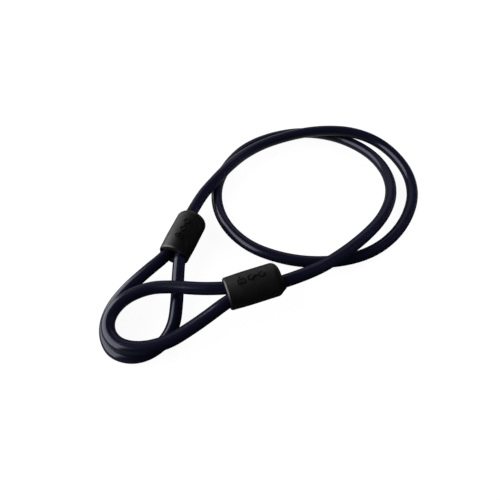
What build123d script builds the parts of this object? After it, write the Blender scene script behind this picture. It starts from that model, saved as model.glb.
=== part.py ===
from build123d import *
import os
from math import pi, radians, tan

os.makedirs("parts", exist_ok=True)

# Double-loop security cable, in millimetres, +Z up, lying coiled on the ground (Z = 0).
# The origin is on the ground in the middle of the coiled cable.

# --- driving dimensions -------------------------------------------------------
CABLE_D = 10.0           # outside the vinyl jacket
ROPE_D = 7.6             # steel rope inside the jacket
JACKET_BORE = 7.8
BEND_SHARE = 0.45        # share of the shorter run that a bend's tangent takes

SLEEVE_L = 42.6          # mouth to the crown of the closed end
SLEEVE_R = 13.0
WAIST_R = 12.85          # slightly slimmer towards the mouth
WAIST_AT = 10.0
FULL_AT = 16.0           # from here on the sleeve has its full radius
LIP_R = 12.5
LIP_AT = 1.1
RIM_R = 11.8             # outer edge of the flat rim
MOUTH_R = 11.3           # shallow round recess inside the rim
MOUTH_EDGE = 0.3         # bevel on the inner edge of the rim
MOUTH_DEPTH = 1.0
SHOULDER_R = 5.6         # round between the side and the closed end
CROWN_RISE = 1.2         # the closed end is this much higher at its middle
CROWN_R = (SLEEVE_R**2 + CROWN_RISE**2) / (2 * CROWN_RISE)

LEG_SIDE = 5.05          # each leg of the eye, to either side of the sleeve's axis
LEG_SPREAD = 0.5         # the legs part this much before they leave the sleeve
LEG_STOP_AT = 11.0       # the jacket of the eye ends here
HOLE_SIDE = 4.0          # hole for the main cable, off the axis towards the live leg
HOLE_D = 10.4
HOLE_FLOOR_AT = 38.3     # the main jacket stops here
NOSE_FOOT_R = 7.65       # tapered nose round that hole, standing out of the closed end
NOSE_FOOT_AT = 40.4
NOSE_TAPER = 32.0        # degrees
NOSE_L = 5.0             # drawn past its end face, then cut by it
NOSE_AT = 42.9           # its end face on the hole's own axis
NOSE_SLOPE = 9.0         # degrees: the end face stands higher on the live leg's side
NOSE_ROUND = 0.25
ROPE_HOLE_D = 9.2

FERRULE_AT = 11.2         # just behind the ends of the eye's jacket
FERRULE_L = 17.0
FERRULE_WALL = 1.6
FERRULE_BORE = 7.8
FERRULE_GAP = 0.1        # between the ferrule and its pocket
CRIMP_W = 3.0            # pressed bands round the ferrule
CRIMP_DEPTH = 0.5
CRIMPS_AT = (3.0, 11.0)
POCKET_END = 34.5
JOG_START = 30.5         # the live rope steps over from the ferrule to the cable hole
JOG_END = 37.0
JOG_RADIUS = 28.0

# Mouth centre and axis of each sleeve; local X points to the side of the live leg.
SLEEVE_A = Plane(origin=(-84.4, -41.0, 13.0), x_dir=(-3, 1, 0), z_dir=(1, 3, 0))
SLEEVE_B = Plane(origin=(-39.15, -83.05, 23.5), x_dir=(1, -3, 0), z_dir=(3, 1, 0.14))

# --- cable routes: centre-line corners, bent round by the largest arcs that fit -------
# The long stretch: out of sleeve A, once and three quarters round, up into sleeve B.
MAIN = [
    (-76, -3.1, 13), (-67.5, 22.3, 13), (-56.5, 37.9, 16), (-43, 59.3, 16), (-28.1, 80.9, 13),
    (-8.3, 98.7, 11), (14.5, 108.5, 12), (37, 112.3, 15), (59, 113.3, 16.2), (81, 111, 16.2),
    (103.6, 102.6, 13.5), (121, 86.4, 9.5), (131.6, 62, 6.5), (131.4, 36, 5), (121.6, 10.6, 5),
    (105, -13, 5), (83, -31, 5), (57, -40.5, 5), (29, -42.5, 5), (2, -37.5, 5),
    (-23.6, -25.6, 5), (-43.5, -3.7, 5), (-53.5, 24.3, 5), (-52.5, 52.3, 5), (-41.6, 79.5, 5),
    (-24.5, 102, 5), (2, 117.3, 5), (31, 124.3, 5), (60, 120.5, 5), (84.5, 107.5, 5),
    (103.5, 85, 6), (111.5, 56, 8), (108, 27, 10.5), (94.5, 0, 13), (74.5, -23.4, 16),
    (50, -45, 18), (23.6, -66.35, 26.4), (-1.35, -74.65, 25.2),
]
# Eye A, from its live leg round to its dead leg.
EYE_A = [
    (-85.7, -29, 13), (-88.2, -36.6, 13), (-92.6, -43.5, 13), (-104, -54.6, 11.5),
    (-119, -70.3, 8.5), (-129.1, -86.9, 6), (-130.1, -104.8, 5), (-121, -121, 5),
    (-102.3, -125, 5), (-86.3, -115.7, 5), (-78.8, -100.5, 5.3), (-78.2, -81.8, 7.5),
    (-78.9, -65, 10), (-79.2, -47.9, 13), (-78.7, -39.7, 13), (-76.1, -32.2, 13),
]
# Eye B, from its dead leg round to its live leg; it rests on eye A.
EYE_B = [
    (-30.35, -74.75, 24), (-37.95, -77.35, 23.6), (-46.2, -77.9, 23.3), (-61, -77.1, 21.8),
    (-80, -74.2, 19.8), (-99, -74, 18), (-116.5, -82, 16.5), (-125.5, -95.5, 15.5),
    (-124.5, -109, 15), (-115, -119.3, 15), (-98.5, -122.3, 15.2), (-79.8, -117.6, 16),
    (-65.8, -108.5, 17.4), (-52.7, -99.5, 20), (-41.6, -91.6, 23.3), (-34.75, -86.85, 23.6),
    (-27.15, -84.35, 24),
]


def bend_radii(points):
    """Radius at each inner corner: BEND_SHARE of the shorter run over the tangent of half the turn."""
    corners = [Vector(*point) for point in points]
    radii = []
    for before, corner, after in zip(corners, corners[1:], corners[2:]):
        run_in = corner - before
        run_out = after - corner
        half_turn = radians(run_in.get_angle(run_out)) / 2
        radii.append(BEND_SHARE * min(run_in.length, run_out.length) / tan(half_turn))
    return radii


def inside(sleeve_plane, along, side):
    """A point on the horizontal middle plane of a sleeve."""
    return sleeve_plane.from_local_coords(Vector(side, 0, along))


def check_tube(name, tube, section_area, length):
    """Compare a tube's volume with its section times its length."""
    print(f"{name}: length {length:.1f}, volume {tube.volume:.0f}, expected {section_area * length:.0f}")


# --- vinyl jackets ------------------------------------------------------------------
JACKET_AREA = pi * (CABLE_D**2 - JACKET_BORE**2) / 4
for name, route in (("jacket_main", MAIN), ("jacket_eye_a", EYE_A), ("jacket_eye_b", EYE_B)):
    radii = bend_radii(route)
    print(name, "radii", [round(radius) for radius in radii])
    with BuildPart() as jacket:
        with BuildLine() as path:
            FilletPolyline(*route, radius=radii)
        with BuildSketch(Plane(origin=path.line @ 0, z_dir=path.line % 0)):
            Circle(CABLE_D / 2)
            Circle(JACKET_BORE / 2, mode=Mode.SUBTRACT)
        sweep()
    check_tube(name, jacket.part, JACKET_AREA, path.wire().length)
    jacket.part.label = name
    export_step(jacket.part, f"parts/{name}.step")

# --- steel rope: dead end A, eye A, the long stretch, eye B, dead end B --------------
ROPE_END = FERRULE_AT + FERRULE_L - 1.0    # the cut ends stop just inside the ferrules
rope_a_in = EYE_A[-2:0:-1]
rope_b_out = EYE_B[-2:0:-1]
rope_points = [inside(SLEEVE_A, ROPE_END, -LEG_SIDE)]
rope_points += rope_a_in
rope_points += [inside(SLEEVE_A, JOG_START, LEG_SIDE), inside(SLEEVE_A, JOG_END, HOLE_SIDE)]
rope_points += MAIN[1:-1]
rope_points += [inside(SLEEVE_B, JOG_END, HOLE_SIDE), inside(SLEEVE_B, JOG_START, LEG_SIDE)]
rope_points += rope_b_out
rope_points += [inside(SLEEVE_B, ROPE_END, -LEG_SIDE)]
rope_radii = bend_radii(EYE_A)[::-1]
rope_radii += [JOG_RADIUS, JOG_RADIUS]
rope_radii += bend_radii(MAIN)
rope_radii += [JOG_RADIUS, JOG_RADIUS]
rope_radii += bend_radii(EYE_B)[::-1]
with BuildPart() as steel_rope:
    with BuildLine() as path:
        FilletPolyline(*rope_points, radius=rope_radii)
    with BuildSketch(Plane(origin=path.line @ 0, z_dir=path.line % 0)):
        Circle(ROPE_D / 2)
    sweep()
check_tube("steel_rope", steel_rope.part, pi * ROPE_D**2 / 4, path.wire().length)
steel_rope.part.label = "steel_rope"
export_step(steel_rope.part, "parts/steel_rope.step")

# --- crimp ferrules: an oval tube pressed round both ropes ----------------------------
FERRULE_H = FERRULE_BORE + 2 * FERRULE_WALL
for name, plane in (("ferrule_a", SLEEVE_A), ("ferrule_b", SLEEVE_B)):
    with BuildPart() as ferrule:
        with BuildSketch(plane.offset(FERRULE_AT)):
            SlotCenterToCenter(2 * LEG_SIDE, FERRULE_H)
        extrude(amount=FERRULE_L)
        chamfer(ferrule.edges().group_by(Axis(plane.origin, plane.z_dir))[0], 0.6)
        chamfer(ferrule.edges().group_by(Axis(plane.origin, plane.z_dir))[-1], 0.6)
        for crimp_at in CRIMPS_AT:
            with BuildSketch(plane.offset(FERRULE_AT + crimp_at)):
                SlotCenterToCenter(2 * LEG_SIDE, FERRULE_H + 1)
                SlotCenterToCenter(2 * LEG_SIDE, FERRULE_H - 2 * CRIMP_DEPTH, mode=Mode.SUBTRACT)
            extrude(amount=CRIMP_W, mode=Mode.SUBTRACT)
        with BuildSketch(plane.offset(FERRULE_AT)):
            with Locations((-LEG_SIDE, 0), (LEG_SIDE, 0)):
                Circle(FERRULE_BORE / 2)
        extrude(amount=FERRULE_L, mode=Mode.SUBTRACT)
    ferrule.part.label = name
    export_step(ferrule.part, f"parts/{name}.step")

# --- moulded sleeves --------------------------------------------------------------------
for name, plane in (("sleeve_a", SLEEVE_A), ("sleeve_b", SLEEVE_B)):
    axis = Axis(plane.origin, plane.z_dir)
    half_section = Plane(origin=plane.origin, x_dir=plane.x_dir, z_dir=-plane.y_dir)
    with BuildPart() as sleeve:
        with BuildSketch(half_section):
            with BuildLine():
                side = Polyline(
                    (0, 0), (RIM_R, 0), (LIP_R, LIP_AT), (WAIST_R, WAIST_AT), (SLEEVE_R, FULL_AT),
                    (SLEEVE_R, SLEEVE_L - CROWN_RISE),
                )
                crown = RadiusArc(side @ 1, (0, SLEEVE_L), -CROWN_R)
                Line(crown @ 1, (0, 0))
            make_face()
            fillet(vertices().group_by(Axis.Y)[-2].sort_by(Axis.X)[-1], SHOULDER_R)
        revolve(axis=axis)
        with BuildPart(mode=Mode.PRIVATE) as nose:
            with BuildSketch(plane.offset(NOSE_FOOT_AT)):
                with Locations((HOLE_SIDE, 0)):
                    Circle(NOSE_FOOT_R)
            extrude(amount=NOSE_L, taper=NOSE_TAPER)
            end_face = Plane(
                origin=inside(plane, NOSE_AT, HOLE_SIDE),
                x_dir=plane.y_dir,
                z_dir=plane.z_dir.rotate(Axis(plane.origin, plane.y_dir), -NOSE_SLOPE),
            )
            split(bisect_by=end_face, keep=Keep.BOTTOM)
            fillet(nose.faces().sort_by(axis)[-1].edges(), NOSE_ROUND)
        add(nose.part)
        with BuildSketch(plane):
            Circle(MOUTH_R)
        extrude(amount=MOUTH_DEPTH, mode=Mode.SUBTRACT)
        with BuildSketch(plane):
            SlotCenterToCenter(2 * (LEG_SIDE + LEG_SPREAD), FERRULE_H + 2 * FERRULE_GAP)
        extrude(amount=LEG_STOP_AT, mode=Mode.SUBTRACT)
        with BuildSketch(plane.offset(LEG_STOP_AT)):
            SlotCenterToCenter(2 * LEG_SIDE, FERRULE_H + 2 * FERRULE_GAP)
        extrude(amount=POCKET_END - LEG_STOP_AT, mode=Mode.SUBTRACT)
        with BuildSketch(plane.offset(POCKET_END)):
            with Locations((HOLE_SIDE, 0)):
                Circle(ROPE_HOLE_D / 2)
        extrude(amount=SLEEVE_L, mode=Mode.SUBTRACT)
        with BuildSketch(plane.offset(HOLE_FLOOR_AT)):
            with Locations((HOLE_SIDE, 0)):
                Circle(HOLE_D / 2)
        extrude(amount=SLEEVE_L, mode=Mode.SUBTRACT)
        mouth_edge = sleeve.edges().filter_by(GeomType.CIRCLE).group_by(axis)[0].sort_by(SortBy.LENGTH)[0]
        chamfer(mouth_edge, MOUTH_EDGE)
    sleeve.part.label = name
    export_step(sleeve.part, f"parts/{name}.step")
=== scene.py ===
import math

import bmesh
import bpy
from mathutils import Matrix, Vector


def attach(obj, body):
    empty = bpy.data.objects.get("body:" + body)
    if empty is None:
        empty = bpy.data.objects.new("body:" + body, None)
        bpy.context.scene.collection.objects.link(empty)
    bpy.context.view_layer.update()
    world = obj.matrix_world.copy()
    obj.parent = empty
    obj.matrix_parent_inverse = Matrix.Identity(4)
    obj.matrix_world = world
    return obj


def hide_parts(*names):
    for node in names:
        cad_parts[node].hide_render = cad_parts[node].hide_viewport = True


# Double-loop security cable, in metres, in the part's own frame.
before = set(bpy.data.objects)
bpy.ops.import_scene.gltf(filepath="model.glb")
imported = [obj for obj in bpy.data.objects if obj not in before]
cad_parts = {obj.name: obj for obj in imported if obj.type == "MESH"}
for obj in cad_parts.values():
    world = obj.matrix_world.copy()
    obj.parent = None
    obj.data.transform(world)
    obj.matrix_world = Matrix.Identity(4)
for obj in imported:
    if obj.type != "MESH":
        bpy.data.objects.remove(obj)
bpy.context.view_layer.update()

MM = 0.001
CABLE_D = 0.010
SPLINE_ORDER = 3
STEPS_ALONG, STEPS_AROUND = 12, 10

# --- routes of the cable, in millimetres, as in the part ------------------------------------------
MAIN = [
    (-76, -3.1, 13), (-67.5, 22.3, 13), (-56.5, 37.9, 16), (-43, 59.3, 16), (-28.1, 80.9, 13),
    (-8.3, 98.7, 11), (14.5, 108.5, 12), (37, 112.3, 15), (59, 113.3, 16.2), (81, 111, 16.2),
    (103.6, 102.6, 13.5), (121, 86.4, 9.5), (131.6, 62, 6.5), (131.4, 36, 5), (121.6, 10.6, 5),
    (105, -13, 5), (83, -31, 5), (57, -40.5, 5), (29, -42.5, 5), (2, -37.5, 5),
    (-23.6, -25.6, 5), (-43.5, -3.7, 5), (-53.5, 24.3, 5), (-52.5, 52.3, 5), (-41.6, 79.5, 5),
    (-24.5, 102, 5), (2, 117.3, 5), (31, 124.3, 5), (60, 120.5, 5), (84.5, 107.5, 5),
    (103.5, 85, 6), (111.5, 56, 8), (108, 27, 10.5), (94.5, 0, 13), (74.5, -23.4, 16),
    (50, -45, 18), (23.6, -66.35, 26.4), (-1.35, -74.65, 25.2),
]
EYE_A = [
    (-85.7, -29, 13), (-88.2, -36.6, 13), (-92.6, -43.5, 13), (-104, -54.6, 11.5),
    (-119, -70.3, 8.5), (-129.1, -86.9, 6), (-130.1, -104.8, 5), (-121, -121, 5),
    (-102.3, -125, 5), (-86.3, -115.7, 5), (-78.8, -100.5, 5.3), (-78.2, -81.8, 7.5),
    (-78.9, -65, 10), (-79.2, -47.9, 13), (-78.7, -39.7, 13), (-76.1, -32.2, 13),
]
EYE_B = [
    (-30.35, -74.75, 24), (-37.95, -77.35, 23.6), (-46.2, -77.9, 23.3), (-61, -77.1, 21.8),
    (-80, -74.2, 19.8), (-99, -74, 18), (-116.5, -82, 16.5), (-125.5, -95.5, 15.5),
    (-124.5, -109, 15), (-115, -119.3, 15), (-98.5, -122.3, 15.2), (-79.8, -117.6, 16),
    (-65.8, -108.5, 17.4), (-52.7, -99.5, 20), (-41.6, -91.6, 23.3), (-34.75, -86.85, 23.6),
    (-27.15, -84.35, 24),
]

# --- sleeves, in millimetres, as in the part ------------------------------------------------------
SLEEVE_A, SLEEVE_A_AXIS = (-84.4, -41.0, 13.0), (1, 3, 0)
SLEEVE_B, SLEEVE_B_AXIS = (-39.15, -83.05, 23.5), (3, 1, 0.14)
SLEEVE_R = 13.0
WAIST_R = 12.85          # slightly slimmer towards the mouth
WAIST_AT = 10.0
FULL_AT = 16.0           # from here on the sleeve has its full radius

# --- moulded mark, in millimetres: u runs along the sleeve and v across it ------------------------
MARK_L = 20.1
MARK_A_MIDDLE, MARK_A_TURN = 19.8, 4.5     # distance from the mouth, and degrees from the top
MARK_B_MIDDLE, MARK_B_TURN = 19.6, -4.5
STROKE_W = 1.2
STROKE_H = 0.55
STROKE_SINK = 0.25       # the foot of a stroke lies this deep in the sleeve
STROKE_DRAFT = 0.16      # a stroke is this much slimmer at its top, on each side
MITRE_LIMIT = 0.3
LOCK_W, LOCK_BOTTOM, LOCK_TOP, LOCK_CORNER_R = 5.0, -3.2, 0.4, 0.6
SHACKLE_R, SHACKLE_LEG = 1.5, 1.0
KEYHOLE_TOP, KEYHOLE_BOTTOM = -0.8, -2.0
RING_R, RING_V = 2.2, -0.4
NEAR_RING_U, FAR_RING_U = 9.8, 17.9
CORNER_STEPS, SHACKLE_STEPS, RING_STEPS = 4, 14, 28

# --- camera ---------------------------------------------------------------------------------------
AIM = Vector((-0.0219, -0.0259, 0.0))
ELEVATION = math.radians(54.35)
DISTANCE = 0.362
LENS_MM = 30.24
SENSOR_MM = 36
CLIP_START = 0.01

# --- studio ---------------------------------------------------------------------------------------
FLOOR_SIZE = 6
FLOOR_TONE = 0.09
FLOOR_ROUGHNESS = 0.9
FLOOR_GLOW = 0.94
# The gloss of the cable sees a floor that is dark below it and lighter to its left and behind it.
# Each row is an axis, where the floor starts to lighten, where it is lightest, and how light it is.
FLOOR_MIRRORED = (("X", -0.09, -0.20, 0.36), ("Y", 0.02, 0.16, 0.55))
ROOM_GLOW = 0.015
BACKDROP_GLOW = 1.0
# Each row is a name, a place, a target, a width and height, watts, and whether the gloss shows it.
SOFT_BOXES = (
    ("left_box", (-0.87, -0.08, 0.68), (0, -0.08, 0.68), (1.55, 1.36), 30, True),
    ("back_box", (-0.15, 0.95, 0.55), (0, 0, 0), (1.3, 0.8), 1.1, True),
    ("right_fill", (0.9, 0.35, 0.35), (0, 0, 0), (1.0, 0.6), 14, False),
)
WHITE = (1, 1, 1, 1)

# --- material tones and textures ------------------------------------------------------------------
VINYL_DARK, VINYL_LIGHT = (0.0040, 0.0041, 0.0121), (0.0060, 0.0061, 0.0170)
VINYL_SHEEN = (0.80, 0.79, 0.96, 1)
STEEL, ALLOY = (0.55, 0.56, 0.58), (0.75, 0.76, 0.78)
METAL_SHADE = 0.75       # tone of a metal's dull patches, as a share of its own tone
METAL_SMOOTHER, METAL_ROUGHER = 0.08, 0.10
GRAIN_DEPTH = 0.0002


def make_camera():
    data = bpy.data.cameras.new("camera")
    data.lens = LENS_MM
    data.sensor_width = SENSOR_MM
    data.clip_start = CLIP_START
    camera = bpy.data.objects.new("camera", data)
    back = Vector((0, -math.cos(ELEVATION), math.sin(ELEVATION)))
    camera.location = AIM + DISTANCE * back
    camera.rotation_euler = (math.pi / 2 - ELEVATION, 0, 0)
    bpy.context.scene.collection.objects.link(camera)
    bpy.context.scene.camera = camera


# --- materials ------------------------------------------------------------------------------------
def new_material(name):
    material = bpy.data.materials.new(name)
    material.use_nodes = True
    nodes = material.node_tree.nodes
    return material, nodes, material.node_tree.links, nodes["Principled BSDF"]


def add_noise(nodes, links, place, scale, detail):
    noise = nodes.new("ShaderNodeTexNoise")
    noise.inputs["Scale"].default_value = scale
    noise.inputs["Detail"].default_value = detail
    links.new(place.outputs["Object"], noise.inputs["Vector"])
    return noise.outputs["Fac"]


def colour_by(nodes, links, shader, pattern, dark, light, dark_at=0.0, light_at=1.0):
    tone = nodes.new("ShaderNodeValToRGB")
    stops = tone.color_ramp.elements
    for stop, colour, position in zip(stops, (dark, light), (dark_at, light_at)):
        stop.position = position
        stop.color = (*colour, 1)
    links.new(pattern, tone.inputs["Fac"])
    links.new(tone.outputs["Color"], shader.inputs["Base Color"])


def roughen_by(nodes, links, shader, pattern, smoothest, roughest):
    gloss = nodes.new("ShaderNodeMapRange")
    gloss.inputs["To Min"].default_value = smoothest
    gloss.inputs["To Max"].default_value = roughest
    links.new(pattern, gloss.inputs["Value"])
    links.new(gloss.outputs["Result"], shader.inputs["Roughness"])


def bump_by(nodes, links, shader, pattern, strength):
    bump = nodes.new("ShaderNodeBump")
    bump.inputs["Strength"].default_value = strength
    bump.inputs["Distance"].default_value = GRAIN_DEPTH
    links.new(pattern, bump.inputs["Height"])
    links.new(bump.outputs["Normal"], shader.inputs["Normal"])


def vinyl_material():
    """Glossy navy vinyl, slightly mottled, with a very fine skin."""
    material, nodes, links, shader = new_material("vinyl")
    place = nodes.new("ShaderNodeTexCoord")
    mottle = add_noise(nodes, links, place, scale=60, detail=4)
    colour_by(nodes, links, shader, mottle, VINYL_DARK, VINYL_LIGHT)
    shader.inputs["Specular Tint"].default_value = VINYL_SHEEN
    shader.inputs["Specular IOR Level"].default_value = 0.35
    roughen_by(nodes, links, shader, mottle, smoothest=0.17, roughest=0.23)
    skin = add_noise(nodes, links, place, scale=900, detail=2)
    bump_by(nodes, links, shader, skin, strength=0.02)
    return material


def plastic_material(name, dark, light, smoothest, roughest, grain_strength):
    """Black moulded plastic with a fine grain and faint scuffs."""
    material, nodes, links, shader = new_material(name)
    place = nodes.new("ShaderNodeTexCoord")
    grain = add_noise(nodes, links, place, scale=1500, detail=3)
    scuff = add_noise(nodes, links, place, scale=140, detail=5)
    colour_by(nodes, links, shader, scuff, [dark] * 3, [light] * 3, dark_at=0.3, light_at=0.7)
    roughen_by(nodes, links, shader, scuff, smoothest, roughest)
    shader.inputs["Specular IOR Level"].default_value = 0.6
    bump_by(nodes, links, shader, grain, grain_strength)
    return material


def metal_material(name, colour, roughness, scale):
    """Bare metal that is dull in patches."""
    material, nodes, links, shader = new_material(name)
    place = nodes.new("ShaderNodeTexCoord")
    dull = add_noise(nodes, links, place, scale, detail=6)
    colour_by(nodes, links, shader, dull, [METAL_SHADE * c for c in colour], colour)
    shader.inputs["Metallic"].default_value = 1.0
    roughen_by(nodes, links, shader, dull, roughness - METAL_SMOOTHER, roughness + METAL_ROUGHER)
    bump_by(nodes, links, shader, dull, strength=0.3)
    return material


def set_material(node, material):
    slots = bpy.data.objects[node].data.materials
    slots.clear()
    slots.append(material)


# --- cable ----------------------------------------------------------------------------------------
def at(point):
    return tuple(value * MM for value in point)


def make_cable(name, points, material):
    data = bpy.data.curves.new(name, "CURVE")
    data.dimensions = "3D"
    data.resolution_u = STEPS_ALONG
    data.bevel_depth = CABLE_D / 2
    data.bevel_resolution = STEPS_AROUND
    data.use_fill_caps = True
    spline = data.splines.new("NURBS")
    spline.points.add(len(points) - 1)
    for corner, point in zip(spline.points, points):
        corner.co = (*at(point), 1)
    spline.order_u = SPLINE_ORDER
    spline.use_endpoint_u = True
    data.materials.append(material)
    piece = bpy.data.objects.new(name, data)
    bpy.context.scene.collection.objects.link(piece)
    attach(piece, "root")
    return piece


# --- moulded marks: a padlock and two joined rings, raised on each sleeve -------------------------
def arc(centre, radius, start, end, count):
    steps = [math.radians(start + (end - start) * k / count) for k in range(count + 1)]
    return [(centre[0] + radius * math.cos(a), centre[1] + radius * math.sin(a)) for a in steps]


def straight(start, end):
    return [start, ((start[0] + end[0]) / 2, (start[1] + end[1]) / 2), end]


def rounded_box(width, bottom, top, radius):
    left, right = radius, width - radius
    low, high = bottom + radius, top - radius
    corners = (((left, low), 180), ((right, low), 270), ((right, high), 0), ((left, high), 90))
    return [point for centre, start in corners
            for point in arc(centre, radius, start, start + 90, CORNER_STEPS)]


def mark_strokes():
    """The strokes as lists of (u, v) points, each with whether it is closed."""
    middle = LOCK_W / 2
    left, right = middle - SHACKLE_R, middle + SHACKLE_R
    leg_top = LOCK_TOP + SHACKLE_LEG
    shackle = (straight((left, LOCK_TOP), (left, leg_top))
               + arc((middle, leg_top), SHACKLE_R, 180, 0, SHACKLE_STEPS)[1:-1]
               + straight((right, leg_top), (right, LOCK_TOP)))
    near_ring, far_ring = (arc((u, RING_V), RING_R, 0, 360, RING_STEPS)[:-1]
                           for u in (NEAR_RING_U, FAR_RING_U))
    return [
        (rounded_box(LOCK_W, LOCK_BOTTOM, LOCK_TOP, LOCK_CORNER_R), True),
        (shackle, False),
        (straight((middle, KEYHOLE_TOP), (middle, KEYHOLE_BOTTOM)), False),
        (near_ring, True),
        (straight((NEAR_RING_U + RING_R, RING_V), (FAR_RING_U - RING_R, RING_V)), False),
        (far_ring, True),
    ]


def sleeve_radius(along):
    share = min(max((along - WAIST_AT) / (FULL_AT - WAIST_AT), 0), 1)
    return WAIST_R + share * (SLEEVE_R - WAIST_R)


def mitre(before, point, after):
    """Direction across a stroke at a point, long enough to keep its width round the bend."""
    u, v = point
    run_in = Vector((u - before[0], v - before[1]))
    run_out = Vector((after[0] - u, after[1] - v))
    run_in = run_in.normalized() if run_in.length else run_out.normalized()
    run_out = run_out.normalized() if run_out.length else run_in
    mean = (run_in + run_out).normalized()
    return Vector((-mean.y, mean.x)) / max(mean.dot(run_in), MITRE_LIMIT)


def make_mark(name, origin, axis, middle, turn, material):
    """Raise the strokes on the sleeve that starts at origin, its mouth, and runs along axis.

    middle is the distance from the mouth to the middle of the mark. turn is the angle in degrees
    from the sleeve's top towards the mark's foot, at which the line v = 0 lies.
    """
    axis = Vector(axis).normalized()
    side = axis.cross(Vector((0, 0, 1))).normalized()
    up = side.cross(axis)
    mesh = bmesh.new()
    for points, closed in mark_strokes():
        count = len(points)
        rings = []
        for k, (u, v) in enumerate(points):
            before = points[k - 1] if k or closed else points[k]
            after = points[(k + 1) % count] if k < count - 1 or closed else points[k]
            across = mitre(before, (u, v), after)
            ring = []
            for offset, height in ((-1, 0), (-1, 1), (1, 1), (1, 0)):
                reach = offset * (STROKE_W / 2 - height * STROKE_DRAFT)
                along = middle - MARK_L / 2 + u + across.x * reach
                radius = sleeve_radius(along) + (STROKE_H if height else -STROKE_SINK)
                angle = math.radians(turn) - (v + across.y * reach) / SLEEVE_R
                outwards = math.cos(angle) * up + math.sin(angle) * side
                place = Vector(origin) + along * axis + radius * outwards
                ring.append(mesh.verts.new(place * MM))
            rings.append(ring)
        pairs = list(zip(rings, rings[1:])) + ([(rings[-1], rings[0])] if closed else [])
        for one, two in pairs:
            for j in range(4):
                mesh.faces.new((one[j], one[(j + 1) % 4], two[(j + 1) % 4], two[j]))
        if not closed:
            mesh.faces.new(rings[0][::-1])
            mesh.faces.new(rings[-1])
    bmesh.ops.recalc_face_normals(mesh, faces=mesh.faces)
    data = bpy.data.meshes.new(name)
    mesh.to_mesh(data)
    mesh.free()
    data.materials.append(material)
    piece = bpy.data.objects.new(name, data)
    bpy.context.scene.collection.objects.link(piece)
    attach(piece, "root")


# --- floor, backdrop and lights -------------------------------------------------------------------
def mix_by_ray(tree, kind, other, seen, output):
    """Show one shader to rays of one kind, and the other shader to all other rays."""
    ray = tree.nodes.new("ShaderNodeLightPath")
    choice = tree.nodes.new("ShaderNodeMixShader")
    tree.links.new(ray.outputs[kind], choice.inputs["Fac"])
    tree.links.new(other, choice.inputs[1])
    tree.links.new(seen, choice.inputs[2])
    tree.links.new(choice.outputs["Shader"], tree.nodes[output].inputs["Surface"])


def make_floor():
    """A white floor that the glossy cable reflects only dimly."""
    bpy.ops.mesh.primitive_plane_add(size=FLOOR_SIZE)
    floor = bpy.context.object
    floor.name = "floor"
    material, nodes, links, shader = new_material("floor_white")
    shader.inputs["Base Color"].default_value = (FLOOR_TONE, FLOOR_TONE, FLOOR_TONE, 1)
    shader.inputs["Roughness"].default_value = FLOOR_ROUGHNESS
    shader.inputs["Specular IOR Level"].default_value = 0.0
    shader.inputs["Emission Color"].default_value = WHITE
    shader.inputs["Emission Strength"].default_value = FLOOR_GLOW
    place = nodes.new("ShaderNodeTexCoord")
    split = nodes.new("ShaderNodeSeparateXYZ")
    links.new(place.outputs["Object"], split.inputs["Vector"])
    glow = nodes.new("ShaderNodeMath")
    glow.operation = "ADD"
    for k, (axis, dark_at, light_at, light) in enumerate(FLOOR_MIRRORED):
        ramp = nodes.new("ShaderNodeMapRange")
        ramp.inputs["From Min"].default_value = dark_at
        ramp.inputs["From Max"].default_value = light_at
        ramp.inputs["To Min"].default_value = 0.0
        ramp.inputs["To Max"].default_value = light
        links.new(split.outputs[axis], ramp.inputs["Value"])
        links.new(ramp.outputs["Result"], glow.inputs[k])
    mirrored = nodes.new("ShaderNodeEmission")
    links.new(glow.outputs["Value"], mirrored.inputs["Strength"])
    mix_by_ray(material.node_tree, "Is Glossy Ray", shader.outputs["BSDF"],
               mirrored.outputs["Emission"], "Material Output")
    floor.data.materials.append(material)
    floor.visible_diffuse = False


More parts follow.
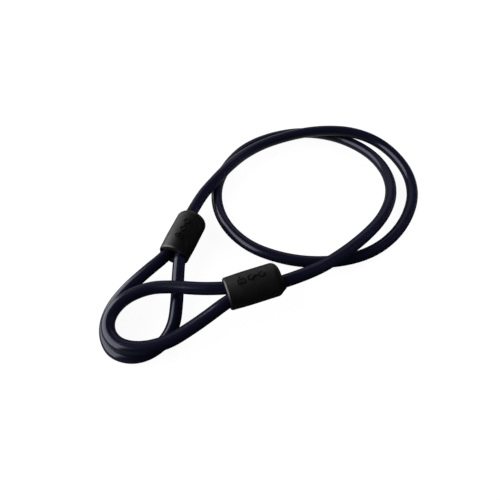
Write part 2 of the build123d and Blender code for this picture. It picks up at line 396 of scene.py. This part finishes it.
def make_backdrop():
    """A room that is dark to the gloss of the object and white to the camera."""
    world = bpy.data.worlds.new("studio")
    world.use_nodes = True
    nodes = world.node_tree.nodes
    room, backdrop = nodes["Background"], nodes.new("ShaderNodeBackground")
    for background, strength in ((room, ROOM_GLOW), (backdrop, BACKDROP_GLOW)):
        background.inputs["Color"].default_value = WHITE
        background.inputs["Strength"].default_value = strength
    mix_by_ray(world.node_tree, "Is Camera Ray", room.outputs["Background"],
               backdrop.outputs["Background"], "World Output")
    bpy.context.scene.world = world


def make_soft_box(name, location, target, size, power, in_gloss):
    data = bpy.data.lights.new(name, "AREA")
    data.shape = "RECTANGLE"
    data.size, data.size_y = size
    data.energy = power
    lamp = bpy.data.objects.new(name, data)
    lamp.location = location
    towards = Vector(target) - Vector(location)
    lamp.rotation_euler = towards.to_track_quat("-Z", "Y").to_euler()
    lamp.visible_glossy = in_gloss
    bpy.context.scene.collection.objects.link(lamp)


# --- the cable, its sleeves and marks, and what lies inside ---------------------------------------
make_camera()
vinyl = vinyl_material()
sleeve_plastic = plastic_material("sleeve_plastic", dark=0.0009, light=0.0020,
                                  smoothest=0.38, roughest=0.50, grain_strength=0.22)
mark_plastic = plastic_material("mark_plastic", dark=0.0010, light=0.0018,
                                smoothest=0.26, roughest=0.34, grain_strength=0.05)

main = make_cable("cable_main", MAIN, vinyl)
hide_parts("jacket_main")
eye_a = make_cable("cable_eye_a", EYE_A, vinyl)
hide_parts("jacket_eye_a")
eye_b = make_cable("cable_eye_b", EYE_B, vinyl)
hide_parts("jacket_eye_b")

rope_steel = metal_material("rope_steel", STEEL, roughness=0.38, scale=700)
ferrule_alloy = metal_material("ferrule_alloy", ALLOY, roughness=0.45, scale=260)
for node, material in (("sleeve_a", sleeve_plastic), ("sleeve_b", sleeve_plastic),
                       ("steel_rope", rope_steel),
                       ("ferrule_a", ferrule_alloy), ("ferrule_b", ferrule_alloy)):
    set_material(node, material)
make_mark("mark_a", SLEEVE_A, SLEEVE_A_AXIS, MARK_A_MIDDLE, MARK_A_TURN, mark_plastic)
make_mark("mark_b", SLEEVE_B, SLEEVE_B_AXIS, MARK_B_MIDDLE, MARK_B_TURN, mark_plastic)

make_floor()
make_backdrop()
for soft_box in SOFT_BOXES:
    make_soft_box(*soft_box)
bpy.context.scene.view_settings.view_transform = "Standard"

bpy.context.view_layer.update()
